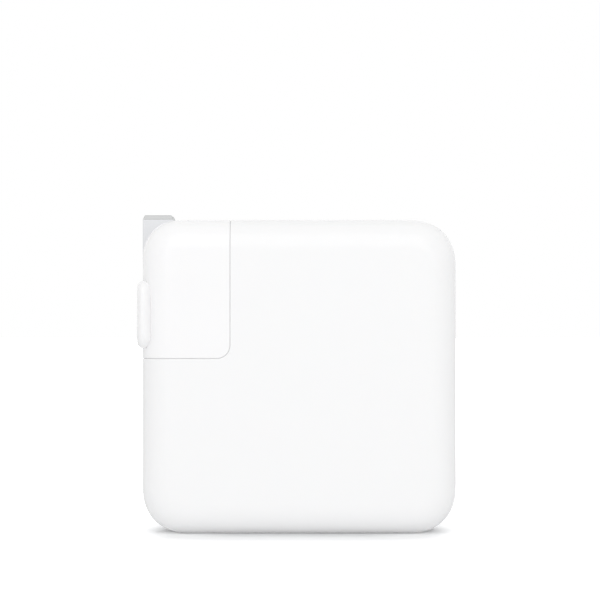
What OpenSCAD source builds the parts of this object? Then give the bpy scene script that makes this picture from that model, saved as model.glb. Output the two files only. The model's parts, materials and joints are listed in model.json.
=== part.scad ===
// Laptop power adapter: a square two-shell mains charger with a slide-off plug head,
// folding flat prongs and a USB-C outlet in its side. Millimetres, +Z up, standing on its lower edge.
// X runs along the width, Y through the thickness (the front face is at -Y).

/* [Case] */
// Width of the case, side to side
case_w = 66; // [62:0.5:80]
// Height of the case as it stands
case_h = 66; // [64:0.5:80]
// Thickness of the case, front face to back face
case_t = 28; // [28:0.5:32]
// Radius of the case's three large corners seen from the front
corner_r = 9; // [8:0.25:11]
// Radius of the long rims between the big faces and the sides
rim_r = 5; // [4:0.25:6]
// Wall of every moulded shell
wall = 2; // [1.6:0.1:2.2]
// Height of the lip that keys the front shell into the back one
lip_h = 1.2; // [0.8:0.1:2]

/* [Plug head] */
// Width of the corner block that slides off
head_w = 18.4; // [18.2:0.1:20]
// Height of the corner block that slides off
head_h = 29.2; // [28.6:0.1:31]
// Radius of the block's outer corner
head_corner_r = 7.6; // [7:0.1:9]
// Radius of the block's inner corner
head_r = 2.8; // [2:0.1:4]
// Running gap between the plug head and the case
fit_gap = 0.15; // [0.1:0.05:0.3]
// Height of the raised wall pad
pad_h = 14.45; // [13:0.05:16]
// How far the wall pad stands proud of the side
pad_proud = 1.12; // [0.8:0.02:1.5]
// Thickness of the pad, which is also the diameter of its round rim
pad_t = 3.28; // [2.8:0.02:3.6]
// Corner radius of the pad seen from the side
pad_corner = 3; // [2:0.1:5]

/* [Prongs] */
// Blade thickness
blade_t = 1.52; // [1.4:0.01:1.6]
// Blade width
blade_w = 6.5; // [6:0.05:6.6]
// Reach of a blade from its pivot to its tip
blade_l = 20.94; // [19:0.02:21.5]
// Distance between the blades' mid-planes
blade_pitch = 12.7; // [12:0.1:13]
// Height of the pivot above the lower edge of the plug head
pivot_up = 9.3; // [9:0.05:10]
// Depth of the pivot behind the side face
pivot_in = 3.2; // [3.2:0.05:3.6]
// Radius of the rounded corners of the prong carrier
carrier_r = 4.9; // [4.7:0.05:5]
// Half of the carrier's width across its flats
carrier_flat = 4.1; // [3.9:0.05:4.3]
// Length of the carrier between its trunnions
carrier_l = 20.8; // [20:0.1:21]
// Radius of the carrier's trunnions
trunnion_r = 1.6; // [1.3:0.05:1.8]
// Length of each trunnion
trunnion_l = 1.3; // [1:0.05:1.35]
// Swing of the prongs from folded, for a trial view
swing = 0; // [0:5:90]

/* [Mains inlet] */
// Distance between the two inlet pins
pin_pitch = 8.6; // [8.2:0.1:9]
// Radius of an inlet pin
pin_r = 1.2; // [1.1:0.05:1.3]
// Depth of the figure-eight recess
inlet_deep = 6.5; // [6:0.1:7]
// Radius of the two lobes of the figure-eight boss
lobe_r = 3.7; // [3.5:0.05:3.9]
// Half of the distance between the lobes' centres
lobe_off = 3.5; // [3.3:0.1:3.9]
// Distance from the notch wall to the middle of the inlet
inlet_in = 8.9; // [8.7:0.1:9.4]

/* [Guide stud] */
// Radius of the stud's head
stud_head_r = 3.3; // [3:0.05:3.6]
// Thickness of the stud's head
stud_head_t = 1.3; // [1:0.05:1.5]
// Radius of the stud's neck
stud_neck_r = 1.8; // [1.6:0.05:2]
// Height of the stud above the floor of the notch
stud_up = 16.2; // [14:0.1:18]
// Thickness of the plug head's wall that runs behind the stud's head
rail_lip = 1.3; // [1.1:0.05:1.5]

/* [USB-C port] */
// Length of the port's metal shell opening
port_l = 8.34; // [8.3:0.01:8.5]
// Width of the port's metal shell opening
port_w = 2.56; // [2.5:0.01:2.6]
// Wall of the port's metal shell
port_wall = 0.3; // [0.2:0.05:0.4]
// Depth of the port's metal shell
port_deep = 8; // [7.5:0.1:8.5]
// Height of the port's middle above the lower edge
port_up = 33; // [31:0.5:36]

/* [Circuit] */
// Thickness of the main board
board_t = 1.6; // [1.2:0.1:2]
// Gap between the main board and the back shell
board_gap = 3; // [2.4:0.1:3.2]
// Least gap between neighbouring parts on the board
part_gap = 0.6; // [0.3:0.05:0.7]
// Radius of a bulk capacitor
bulk_r = 6; // [5:0.25:6.25]
// Length of a bulk capacitor
bulk_l = 25; // [20:0.5:26]
// Length of the transformer core
core_l = 22; // [20:0.5:24]
// Height of the transformer core as it stands
core_h = 24; // [22:0.5:24]
// Thickness of the transformer core
core_t = 11; // [9:0.5:12]
// Outer radius of the input choke's ring core
choke_r = 5.4; // [4.5:0.1:5.6]
// Radius of an output capacitor
can_r = 3.5; // [3:0.1:3.8]
// Height of an output capacitor
can_h = 9; // [7:0.5:11]
// Radius of the fuse's cap
fuse_r = 3.2; // [2.6:0.1:3.4]
// Height of the fuse's cap
fuse_h = 7.5; // [6:0.5:9]
// Radius of the varistor's disc
varistor_r = 4; // [3:0.1:4.4]
// Thickness of the varistor's disc
varistor_t = 3; // [2:0.1:3.6]
// Height of the film capacitor's box above the board
film_h = 11; // [8:0.5:13]
// Length of the bridge rectifier
bridge_l = 14; // [12:0.5:15]
// Height of the bridge rectifier
bridge_h = 10; // [8:0.5:12]
// Thickness of the bridge rectifier
bridge_t = 3.4; // [3:0.1:4]
// Side of the output inductor's square base
coil_w = 8; // [6:0.5:8]
// Height of the output inductor
coil_h = 5; // [4:0.5:6]
// Radius of the suppression capacitor's disc
disc_r = 3.2; // [2.6:0.1:3.6]
// Thickness of the suppression capacitor's disc
disc_t = 2.4; // [1.8:0.1:2.8]
// Radius of the bias capacitor
bias_r = 2.2; // [1.8:0.1:2.4]
// Height of the bias capacitor
bias_h = 9; // [7:0.5:11]
// Length of the primary controller chip
chip_l = 4.5; // [3.5:0.1:5]
// Width of the primary controller chip
chip_w = 4; // [3:0.1:4.2]
// Length of the optocoupler
opto_l = 6.5; // [5.5:0.1:6.8]
// Width of the optocoupler
opto_w = 4; // [3.4:0.1:4.4]

/* [Hidden] */
$fn = 64;

white = [0.96, 0.96, 0.97];
steel = [0.78, 0.79, 0.80];
brass = [0.80, 0.66, 0.36];
copper = [0.80, 0.45, 0.25];
ferrite = [0.18, 0.18, 0.19];
black = [0.10, 0.10, 0.11];
far = 200;
slip = 0.05;

// inside of the case
in_x = case_w / 2 - wall;
in_y = case_t / 2 - wall;
in_z0 = wall;
in_z1 = case_h - wall;
in_rim = rim_r - wall;

// notch that the plug head fills
notch_x = -case_w / 2 + head_w;
notch_z = case_h - head_h;
head_x = notch_x - fit_gap;
head_z = notch_z + fit_gap;

// prong pivot
pivot_x = -case_w / 2 + pivot_in;
pivot_z = notch_z + pivot_up;
pad_x = -case_w / 2 - pad_proud + pad_t / 2;
pad_half = case_t / 2 - 0.1;
blade_y = blade_pitch / 2;
slot_t = blade_t + 0.6;
tail_w = 2.4;
tip_bevel = 0.95;
tip_side = 0.45;
tip_face = 0.4;
turn_gap = 0.15;
trunnion_gap = 0.06;

// mains inlet
inlet_x = notch_x - inlet_in;
inlet_floor = notch_z - inlet_deep;
cup_floor_t = 1.8;
cup_wall = 1.6;
boss_gap = 0.25;
pin_y = pin_pitch / 2;
pin_tail = 1.2;
waist = 2.9;
sleeve_r = pin_r + 0.7;
sleeve_up = 4;

// guide stud
stud_z = notch_z + stud_up;
stud_neck = fit_gap + rail_lip + fit_gap;
stud_flange_t = 0.9;
stud_flange_r = 3;
stud_tail_r = 1.2;
strap_t = 0.5;
nut_t = 1.3;
clip_t = 0.25;
channel_half = stud_head_r + fit_gap + clip_t + slip;
channel_deep = stud_head_t + 2 * fit_gap + clip_t;
rail_back = 1.2;

// port
port_mouth = case_w / 2 - 0.4;
port_back = port_mouth - port_deep;
port_out_l = port_l + 2 * port_wall;
port_out_w = port_w + 2 * port_wall;
port_board_t = 1;
port_board_half = port_out_l / 2 + 0.33;
tongue_l = 6.69;
tongue_t = 0.7;

// board and what stands on it
board_y1 = in_y - board_gap;
board_y0 = board_y1 - board_t;
board_inset = wall + 1.5;
board_left = notch_x + wall + stud_flange_t + strap_t + slip;
board_step = inlet_floor - cup_floor_t - 0.3;
plate_t = 0.6;
sheet_t = 0.3;
post_r = 2.2;
post_pin_r = 1;
posts = [
    [-in_x + 4.4, board_step - 3.5],
    [in_x - 5, in_z0 + 6],
    [in_x - 5, in_z1 - 6],
    [board_left + 3.5, in_z1 - 4.5]
];
edge_gap = 3;
wind_t = 0.75;
choke_h = 5;
strip_h = 2 * fuse_r + 0.2;
band_h = 2 * (choke_r + wind_t);

// rows up the board, with the free height shared out: two shares at each end, one between rows
stack_gap = (in_z1 - in_z0 - 2 * bulk_r - strip_h - band_h - core_h) / 7;
bulk_z = in_z0 + 2 * stack_gap + bulk_r;
strip_z = bulk_z + bulk_r + stack_gap;
strip_mid = strip_z + strip_h / 2;
band_z0 = strip_z + strip_h + stack_gap;
band_z1 = band_z0 + band_h;
core_z = band_z1 + stack_gap + core_h / 2;

// transformer and output cans, with the free width shared out: four shares left of the core
can_pitch = 2 * can_r + 0.1;
cans_w = 2 * can_r + can_pitch * cos(30);
row_gap = (in_x - board_left - nut_t - core_l - cans_w) / 6;
core_x0 = board_left + nut_t + 4 * row_gap;
core_x1 = core_x0 + core_l;
core_x = core_x0 + core_l / 2;
wind_half = core_t / 2 + 1.7;
core_y = board_y0 - 0.6 - wind_half;
back_t = 3.2;
leg_t = 3.4;
mid_t = 6.5;
first_can = [core_x1 + row_gap + can_r, in_z1 - 3.5 - opto_w - 0.8 - can_r];
second_can = first_can - [0, can_pitch];
third_can = first_can + [can_pitch * cos(30), -can_pitch / 2];

// bulk capacitors, and the strip of parts above them, set out from the right
bulk_x = -in_x + edge_gap;
coil_x = in_x - edge_gap - coil_w;
bridge_x = coil_x - part_gap - bridge_l;
varistor_x = bridge_x - part_gap - varistor_r;
fuse_x = varistor_x - varistor_r - part_gap - fuse_r;
lead_r = 0.6;
lead_end = 0.6;
lead_z = inlet_floor - cup_floor_t - pin_tail - lead_r;
lead_side = 1.8;

// band of parts between the strip and the transformer, set out from both ends
choke_x = board_left + 1 + choke_r + wind_t;
choke_z = (band_z0 + band_z1) / 2;
bias_x = choke_x + choke_r + wind_t + part_gap + bias_r;
header_x = port_back - 2.6;
disc_x = header_x - part_gap - disc_t;
film_x1 = min(fuse_x - fuse_r, choke_x - choke_r - wind_t) - part_gap;
film_z1 = lead_z - lead_r - part_gap;
// every lead that passes through the board: [x, z, radius]
leads = [
    for (i = [0, 1]) [inlet_x + i * lead_side, lead_z, lead_r],
    for (s = [-1, 1]) [varistor_x + s * varistor_r * 0.6, strip_mid, 0.4],
    for (i = [0 : 3]) [bridge_x + (i + 0.5) * bridge_l / 4, strip_mid, 0.4],
    for (s = [-1, 1]) [disc_x + disc_t / 2, choke_z + s * disc_r * 0.6, 0.35]
];

// ---- helpers: a flat outline drawn out along one axis ----

module along_x(x0, x1) {
    translate([x0, 0, 0]) rotate([90, 0, 90]) linear_extrude(x1 - x0) children();
}

module along_y(y0, y1) {
    translate([0, y1, 0]) rotate([90, 0, 0]) linear_extrude(y1 - y0) children();
}

module along_z(z0, z1) {
    translate([0, 0, z0]) linear_extrude(z1 - z0) children();
}

module rod_x(y, z, x0, x1, r) {
    translate([x0, y, z]) rotate([0, 90, 0]) cylinder(r = r, h = x1 - x0);
}

module rod_y(x, z, y0, y1, r) {
    translate([x, y1, z]) rotate([90, 0, 0]) cylinder(r = r, h = y1 - y0);
}

module rod_z(x, y, z0, z1, r) {
    translate([x, y, z0]) cylinder(r = r, h = z1 - z0);
}

module box(x0, x1, y0, y1, z0, z1) {
    translate([x0, y0, z0]) cube([x1 - x0, y1 - y0, z1 - z0]);
}

// a quarter of a disc in the +X +Y quadrant
module quarter(r) {
    intersection() {
        circle(r);
        square(r);
    }
}

// a rectangle centred on the origin with round corners
module round_rect(w, h, r) {
    square([w - 2 * r, h], center = true);
    for (s = [-1, 1]) {
        translate([s * (w / 2 - r / 2), 0]) square([r, h - 2 * r], center = true);
        for (t = [-1, 1])
            translate([s * (w / 2 - r), t * (h / 2 - r)]) mirror([s < 0 ? 1 : 0, 0]) mirror([0, t < 0 ? 1 : 0]) quarter(r);
    }
}

// section through a rim: flat from the axis out, with its outer edges rounded
module rim_section(reach, t, r) {
    square([reach - r, t]);
    if (t > 2 * r) translate([reach - r, r]) square([r, t - 2 * r]);
    translate([reach - r, t - r]) quarter(r);
    translate([reach - r, r]) mirror([0, 1]) quarter(r);
}

// a slab w by h, t thick, standing on z = 0, with corners of radius c and both rims rounded by r
module soft_slab(w, h, t, c, r) {
    translate([0, 0, t / 2]) cube([w - 2 * c, h - 2 * c, t], center = true);
    for (a = [0 : 3]) {
        wide = a % 2 == 0 ? w : h;
        tall = a % 2 == 0 ? h : w;
        rotate([0, 0, 90 * a]) translate([wide / 2 - c, tall / 2 - c, 0]) {
            rotate([90, 0, 0]) linear_extrude(tall - 2 * c) rim_section(c, t, r);
            rotate_extrude(angle = 90) rim_section(c, t, r);
        }
    }
}

// ---- shared outlines ----

// the whole case as one soft block, taken in by inset on every side
module case_block(inset = 0, c = corner_r) {
    translate([0, case_t / 2 - inset, case_h / 2]) rotate([90, 0, 0])
        soft_slab(case_w - 2 * inset, case_h - 2 * inset, case_t - 2 * inset, c - inset, rim_r - inset);
}

// front outline of the corner notch, grown by g
module notch_plan(g = 0) {
    r = head_r + g;
    x = notch_x + g;
    z = notch_z - g;
    translate([-far, z]) square([x - r + far, far]);
    translate([x - r, z + r]) square([r, far - r]);
    translate([x - r, z + r]) mirror([0, 1]) quarter(r);
}

// front outline of the case with its notch, taken in by inset
module case_plan(inset) {
    difference() {
        translate([0, case_h / 2]) round_rect(case_w - 2 * inset, case_h - 2 * inset, corner_r - inset);
        notch_plan(inset);
    }
}

// figure-eight outline across X and Y, grown by g
module eight_plan(g = 0) {
    translate([inlet_x, 0]) {
        for (s = [-1, 1]) translate([0, s * lobe_off]) circle(lobe_r + g);
        square([2 * (waist + g), 2 * lobe_off], center = true);
    }
}

// rounded outline of the inlet cup across X and Y, grown by g
module cup_plan(g = 0) {
    translate([inlet_x, 0])
        round_rect(2 * (lobe_r + boss_gap + cup_wall + g), 2 * (lobe_off + lobe_r + boss_gap + cup_wall + g), 2 + g);
}

// outline of the port across Y and Z, grown by g
module port_plan(g = 0) {
    translate([0, port_up]) round_rect(port_w + 2 * g, port_l + 2 * g, port_w / 2 + g - 0.02);
}

// ---- case ----

// what the two shells share before they part at Y = 0
module case_body() {
    difference() {
        case_block();
        difference() {
            case_block(wall);
            along_y(-far, far) notch_plan(wall);
        }
        along_y(-far, far) notch_plan();
        rod_x(0, stud_z, notch_x - 1, notch_x + wall + 1, stud_neck_r + slip);
        along_z(notch_z - wall - 1, notch_z + 1) cup_plan(slip);
        along_x(in_x - 1, case_w / 2 + 1) port_plan(port_wall + 0.15);
    }
}

module front_half(y) {
    box(-far, far, -far, y, -far, far);
}

module rear_half(y) {
    box(-far, far, y, far, -far, far);
}

// the lip's ring: what lies between two insets, over the lip's height
module lip_ring(gap) {
    along_y(-gap, lip_h + gap) difference() {
        case_plan(wall / 2 - gap);
        case_plan(wall);
    }
}

// places where the lip is broken for the stud, the cup and the port
module lip_breaks() {
    rod_x(0, stud_z, notch_x - 1, notch_x + wall + 1, stud_flange_r);
    along_z(notch_z - wall - 1, notch_z + 1) cup_plan(0.6);
    along_x(in_x - 1, case_w / 2 + 1) port_plan(port_wall + 1);
}

module front_shell() {
    color(white) {
        difference() {
            case_body();
            rear_half(0);
        }
        difference() {
            lip_ring(0);
            front_half(0);
            lip_breaks();
        }
    }
}

module rear_shell() {
    color(white) {
        difference() {
            case_body();
            front_half(0);
            difference() {
                lip_ring(slip);
                lip_breaks();
            }
        }
        for (p = posts) {
            rod_y(p[0], p[1], board_y1, in_y + wall / 2, post_r);
            rod_y(p[0], p[1], board_y0 + 0.2, board_y1, post_pin_r);
        }
    }
}

module spreader(y0, y1, holes) {
    color([0.75, 0.76, 0.78]) along_y(y0, y1) difference() {
        case_plan(wall + in_rim + 0.2);
        if (holes) for (p = posts) translate(p) circle(post_r + 0.4);
    }
}

module front_heat_spreader() {
    spreader(-in_y + slip, -in_y + slip + plate_t, false);
}

module rear_heat_spreader() {
    spreader(in_y - slip - plate_t, in_y - slip, true);
}

module insulating_sheet() {
    color([0.85, 0.75, 0.35]) along_y(in_y - 2 * slip - plate_t - sheet_t, in_y - 2 * slip - plate_t) difference() {
        case_plan(wall + in_rim);
        for (p = posts) translate(p) circle(post_r + 0.4);
    }
}

// ---- mains inlet and stud ----

module inlet_cup() {
    color(white) difference() {
        union() {
            along_z(inlet_floor - cup_floor_t, notch_z) cup_plan();
            along_z(notch_z - wall - slip - 1, notch_z - wall - slip) cup_plan(1);
        }
        along_z(inlet_floor, notch_z + 1) eight_plan(boss_gap);
        for (s = [-1, 1]) rod_z(inlet_x, s * pin_y, inlet_floor - 3, inlet_floor + 1, pin_r);
    }
}

module inlet_pins() {
    color(steel) for (s = [-1, 1]) {
        rod_z(inlet_x, s * pin_y, inlet_floor - cup_floor_t - pin_tail, notch_z - 1, pin_r);
        translate([inlet_x, s * pin_y, notch_z - 1]) cylinder(r1 = pin_r, r2 = pin_r - 0.4, h = 0.5);
    }
}

// both leads drop from their pins and turn back through the board, the front one beside the rear one
module input_leads() {
    top = inlet_floor - cup_floor_t - pin_tail;
    color(copper) for (i = [0, 1]) {
        x = leads[i][0];
        y = (1 - 2 * i) * pin_y;
        rod_z(inlet_x, y, lead_z, top, lead_r);
        translate([inlet_x, y, lead_z]) sphere(lead_r);
        if (i > 0) rod_x(y, lead_z, inlet_x, x, lead_r);
        if (i > 0) translate([x, y, lead_z]) sphere(lead_r);
        rod_y(x, lead_z, y, board_y1 + lead_end, lead_r);
    }
}

module guide_stud() {
    flange_x = notch_x + wall;
    color(steel) {
        rod_x(0, stud_z, notch_x - stud_neck - stud_head_t, notch_x - stud_neck, stud_head_r);
        rod_x(0, stud_z, notch_x - stud_neck, flange_x, stud_neck_r);
        rod_x(0, stud_z, flange_x, flange_x + stud_flange_t, stud_flange_r);
        rod_x(0, stud_z, flange_x + stud_flange_t, flange_x + stud_flange_t + strap_t + nut_t, stud_tail_r);
    }
}

module ground_strap() {
    x = notch_x + wall + stud_flange_t;
    color(copper) difference() {
        box(x, x + strap_t, -3, board_y1 + 0.6, stud_z - 2.5, stud_z + 2.5);
        rod_x(0, stud_z, x - 1, x + strap_t + 1, stud_tail_r + slip);
    }
}

module stud_nut() {
    x = notch_x + wall + stud_flange_t + strap_t;
    color(steel) difference() {
        translate([x, 0, stud_z]) rotate([0, 90, 0]) cylinder(r = 2.6, h = nut_t, $fn = 6);
        rod_x(0, stud_z, x - 1, x + nut_t + 1, stud_tail_r + slip);
    }
}

// ---- board ----

module main_board() {
    color([0.10, 0.38, 0.22]) along_y(board_y0, board_y1) difference() {
        translate([0, case_h / 2]) round_rect(case_w - 2 * board_inset, case_h - 2 * board_inset, corner_r - board_inset);
        translate([-far, board_step]) square([board_left + far, far]);
        for (p = posts) translate(p) circle(post_pin_r + slip);
        for (l = leads) translate([l[0], l[1]]) circle(l[2] + slip);
    }
}

// stands a block on the board: x0 to x1, z0 to z1, h high
module on_board(x0, x1, z0, z1, h, lift = 0) {
    box(x0, x1, board_y0 - lift - h, board_y0 - lift, z0, z1);
}

module can(x, z, r, h) {
    rod_y(x, z, board_y0 - h + 0.6, board_y0, r);
    translate([x, board_y0 - h + 0.6, z]) rotate([90, 0, 0]) cylinder(r1 = r, r2 = r - 0.5, h = 0.6);
}

// a bare lead from a piece at y back through the board
module lead(i, y) {
    rod_y(leads[i][0], leads[i][1], y, board_y1 + lead_end, leads[i][2]);
}

module fuse() {
    color(black) can(fuse_x, strip_mid, fuse_r, fuse_h);
}

module varistor() {
    y = board_y0 - varistor_r - 1;
    color([0.10, 0.30, 0.55]) rod_z(varistor_x, y, strip_mid - varistor_t / 2, strip_mid + varistor_t / 2, varistor_r);
    color(steel) for (i = [2, 3]) lead(i, y + varistor_r / 2);
}

module x_capacitor() {
    color([0.85, 0.70, 0.15]) on_board(bulk_x, film_x1, strip_z, film_z1, film_h);
}

module y_capacitor() {
    y = board_y0 - disc_r - 0.8;
    color([0.15, 0.45, 0.75]) rod_x(y, choke_z, disc_x, disc_x + disc_t, disc_r);
    color(steel) for (i = [8, 9]) lead(i, y + disc_r / 2);
}

// half-section of the choke's ring, grown by g
module ring_section(g) {
    translate([choke_r * 0.56 - g, -choke_h / 2 - g]) square([choke_r * 0.44 + 2 * g, choke_h + 2 * g]);
}

module on_choke_axis() {
    translate([choke_x, board_y0 - wind_t - slip - choke_h / 2, choke_z]) rotate([90, 0, 0]) children();
}

module choke_core() {
    color(ferrite) on_choke_axis() rotate_extrude() ring_section(0);
}

module choke_windings() {
    color(copper) on_choke_axis() for (a = [20, 200]) rotate([0, 0, a]) rotate_extrude(angle = 140) difference() {
        ring_section(wind_t);
        ring_section(slip);
    }
}

module bridge_rectifier() {
    lift = 0.5;
    color(black) on_board(bridge_x, bridge_x + bridge_l, strip_mid - bridge_t / 2, strip_mid + bridge_t / 2, bridge_h, lift);
    color(steel) for (i = [4 : 7]) lead(i, board_y0 - lift);
}

module bulk_capacitors() {
    color([0.12, 0.13, 0.16]) for (i = [0, 1]) {
        x = bulk_x + i * (bulk_l + 2);
        y = board_y0 - bulk_r - slip;
        rod_x(y, bulk_z, x, x + bulk_l - 1, bulk_r);
        translate([x + bulk_l - 1, y, bulk_z]) rotate([0, 90, 0]) cylinder(r1 = bulk_r, r2 = bulk_r - 0.7, h = 1);
    }
}

module power_transistor() {
    margin = 1.8;
    color(black) on_board(bias_x + bias_r + part_gap, disc_x - part_gap, band_z0 + margin, band_z1 - margin, 1.2);
}

// the primary controller above the bias capacitor, and the output controller under the third can
module control_chips() {
    x = third_can[0] - chip_l / 2;
    z = third_can[1] - can_r - part_gap;
    color(black) {
        on_board(bias_x - bias_r, bias_x - bias_r + chip_l, band_z1 - chip_w, band_z1, 1.4);
        on_board(x, x + chip_l, z - chip_w * 0.7, z, 1.2);
    }
}

module optocoupler() {
    x = core_x1 + 2.2;
    color([0.9, 0.9, 0.88]) on_board(x, x + opto_l, in_z1 - 3.5 - opto_w, in_z1 - 3.5, 3.4);
}

module bias_capacitor() {
    color([0.12, 0.13, 0.16]) can(bias_x, band_z0 + bias_r, bias_r, bias_h);
}

// ---- transformer: two E halves face to face along X, wound on a bobbin ----

module e_half() {
    window_z = core_h / 2 - leg_t - mid_t / 2;
    along_y(core_y - core_t / 2, core_y + core_t / 2) translate([0, core_z]) difference() {
        translate([-core_l / 2, -core_h / 2]) square([core_l / 2 - slip / 2, core_h]);
        for (z = [mid_t / 2, -mid_t / 2 - window_z]) translate([-core_l / 2 + back_t, z]) square([core_l, window_z]);
    }
}

module transformer_core() {
    color(ferrite) translate([core_x, 0, 0]) {
        e_half();
        mirror([1, 0, 0]) e_half();
    }
}

// sleeve around the middle leg: grown by a inside and b outside, drawn over x0 to x1
module leg_sleeve(x0, x1, a, half_y, half_z) {
    along_x(x0, x1) translate([core_y, core_z]) difference() {
        square([2 * half_y, 2 * half_z], center = true);
        square([core_t + 2 * a, mid_t + 2 * a], center = true);
    }
}

module transformer_bobbin() {
    window = core_l - 2 * back_t;
    half_z = core_h / 2 - leg_t - 0.2;
    x0 = core_x - window / 2 + 0.1;
    x1 = core_x + window / 2 - 0.1;
    color([0.15, 0.15, 0.16]) {
        leg_sleeve(x0, x1, 0.1, core_t / 2 + 0.8, mid_t / 2 + 0.8);
        for (x = [x0, x1 - 0.8]) {
            leg_sleeve(x, x + 0.8, 0.1, wind_half, half_z);
            box(x, x + 0.8, core_y + wind_half - 1, board_y0, core_z - half_z, core_z + half_z);
        }
    }
}

module transformer_winding() {
    window = core_l - 2 * back_t;
    color([0.86, 0.72, 0.22]) leg_sleeve(core_x - window / 2 + 1, core_x + window / 2 - 1, 0.85, wind_half - 0.2, core_h / 2 - leg_t - 0.4);
}

module thermal_pad() {
    color([0.62, 0.66, 0.72])
        box(core_x - 6.5, core_x + 6.5, -in_y + 2 * slip + plate_t, core_y - wind_half, core_z - 8, core_z + 8);
}

module output_inductor() {
    plinth = 1.2;
    color(ferrite) {
        on_board(coil_x, coil_x + coil_w, strip_z, strip_z + coil_w, plinth);
        rod_y(coil_x + coil_w / 2, strip_z + coil_w / 2, board_y0 - coil_h, board_y0 - plinth, coil_w / 2 - 0.3);
    }
}

// three cans in a triangle
module output_capacitors() {
    color([0.72, 0.73, 0.76]) for (c = [first_can, second_can, third_can]) can(c[0], c[1], can_r, can_h);
}

// ---- USB-C outlet ----

module port_header() {
    color(black) on_board(header_x, header_x + 2, port_up - 4.5, port_up + 4.5, board_y0 - port_out_w / 2 - slip - port_board_t);
}

module port_board() {
    y = port_out_w / 2 + slip;
    color([0.10, 0.38, 0.22]) box(port_back - 3.2, in_x - 0.8, y, y + port_board_t, port_up - port_board_half, port_up + port_board_half);
}

module port_shell() {
    color(steel) difference() {
        along_x(port_back, port_mouth) port_plan(port_wall);
        along_x(port_back + 0.6, port_mouth + 1) port_plan();
    }
}

module port_tongue() {
    x0 = port_back + 0.6;
    color(black) {
        along_x(x0, x0 + 1.4) port_plan(-slip);
        box(x0 + 1.4, port_mouth - 1, -tongue_t / 2, tongue_t / 2, port_up - tongue_l / 2, port_up + tongue_l / 2);
    }
}

module port_contacts() {
    x0 = port_back + 2.2;
    color(brass) for (s = [-1, 1]) for (i = [0 : 11])
        translate([x0, s * (tongue_t / 2 + 0.04) - 0.04, port_up + (i - 5.5) * 0.5 - 0.13]) cube([3.4, 0.08, 0.26]);
}

// ---- plug head ----

// the corner block that the notch leaves, less its running gap
module head_block() {
    intersection() {
        case_block(0, head_corner_r);
        along_y(-far, far) notch_plan(-fit_gap);
    }
}

module wall_pad() {
    translate([pad_x - pad_t / 2, 0, pivot_z]) rotate([90, 0, 90])
        soft_slab(2 * pad_half, pad_h, pad_t, pad_corner, pad_t / 2);
}

// room that one blade needs: its slot down the side face and out at the top
module blade_slot(y) {
    box(-far, pivot_x + blade_w / 2 + 0.3, y - slot_t / 2, y + slot_t / 2, pivot_z - blade_w / 2 - 0.4, far);
}

module plug_shell() {
    channel_x = pivot_x + blade_w / 2 + 1.3;
    color(white) difference() {
        union() {
            difference() {
                union() {
                    head_block();
                    wall_pad();
                }
                case_block(wall, head_corner_r);
                box(-in_x, far, -in_y, in_y, -far, head_z + wall);
                box(head_x - wall, far, -in_y, in_y, -far, in_z1);
            }
            intersection() {
                for (y = [-blade_y, blade_y])
                    box(-in_x - wall / 2, channel_x, y - slot_t / 2 - 1, y + slot_t / 2 + 1, pivot_z + carrier_r + 0.8, far);
                case_block(wall / 2, head_corner_r);
            }
            for (s = [-1, 1]) mirror([0, s < 0 ? 1 : 0, 0])
                rod_y(pivot_x, pivot_z, carrier_l / 2 + turn_gap, in_y + wall / 2, 2 * trunnion_r);
        }
        for (y = [-blade_y, blade_y]) blade_slot(y);
        rod_y(pivot_x, pivot_z, -carrier_l / 2 - turn_gap, carrier_l / 2 + turn_gap, carrier_r + turn_gap);
        box(-far, -case_w / 2 + 0.5, -carrier_l / 2 - turn_gap, carrier_l / 2 + turn_gap, pivot_z - 3, pivot_z + 3);
        rod_y(pivot_x, pivot_z, -in_y, in_y, trunnion_r + trunnion_gap);
        for (s = [-1, 1]) mirror([0, s < 0 ? 1 : 0, 0])
            box(pivot_x, pivot_x + far, carrier_l / 2 - 1, in_y, pivot_z - trunnion_r - trunnion_gap, pivot_z + trunnion_r + trunnion_gap);
    }
}

// L-shaped inner plate of the plug head, with the rail, the boss and the arms that close the bearings
module plug_base() {
    y = in_y - slip;
    top = in_z1 - slip;
    rail_x = head_x - rail_lip - channel_deep - rail_back;
    slot_top = stud_z;
    arm = trunnion_r - slip + trunnion_gap;
    color(white) difference() {
        union() {
            intersection() {
                union() {
                    box(head_x - wall, head_x, -y, y, head_z, top);
                    box(-in_x + slip, head_x, -y, y, head_z, head_z + wall);
                    box(rail_x, head_x, -channel_half - 1, channel_half + 1, head_z, slot_top + channel_half + 1.2);
                }
                along_y(-far, far) notch_plan(-fit_gap);
            }
            along_z(notch_z - inlet_deep + 0.4, head_z + 0.5) eight_plan();
            along_z(head_z, head_z + wall + sleeve_up - 1) eight_plan(-0.4);
            for (s = [-1, 1]) mirror([0, s < 0 ? 1 : 0, 0]) difference() {
                box(pivot_x, head_x - wall / 2, carrier_l / 2 + turn_gap + slip, in_y - slip, pivot_z - arm, pivot_z + arm);
                rod_y(pivot_x, pivot_z, -far, far, trunnion_r + trunnion_gap);
            }
        }
        // T-slot: narrow through the wall, wide behind it, open at the bottom
        box(head_x - rail_lip - 1, head_x + 1, -stud_neck_r - fit_gap, stud_neck_r + fit_gap, -far, slot_top);
        rod_x(0, slot_top, head_x - rail_lip - 1, head_x + 1, stud_neck_r + fit_gap);
        box(head_x - rail_lip - channel_deep, head_x - rail_lip, -channel_half, channel_half, -far, slot_top);
        rod_x(0, slot_top, head_x - rail_lip - channel_deep, head_x - rail_lip, channel_half);
        for (s = [-1, 1]) {
            rod_z(inlet_x, s * pin_y, -far, far, pin_r + 0.25);
            rod_z(inlet_x, s * pin_y, notch_z - inlet_deep + 0.9, far, sleeve_r + slip);
        }
    }
}

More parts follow.
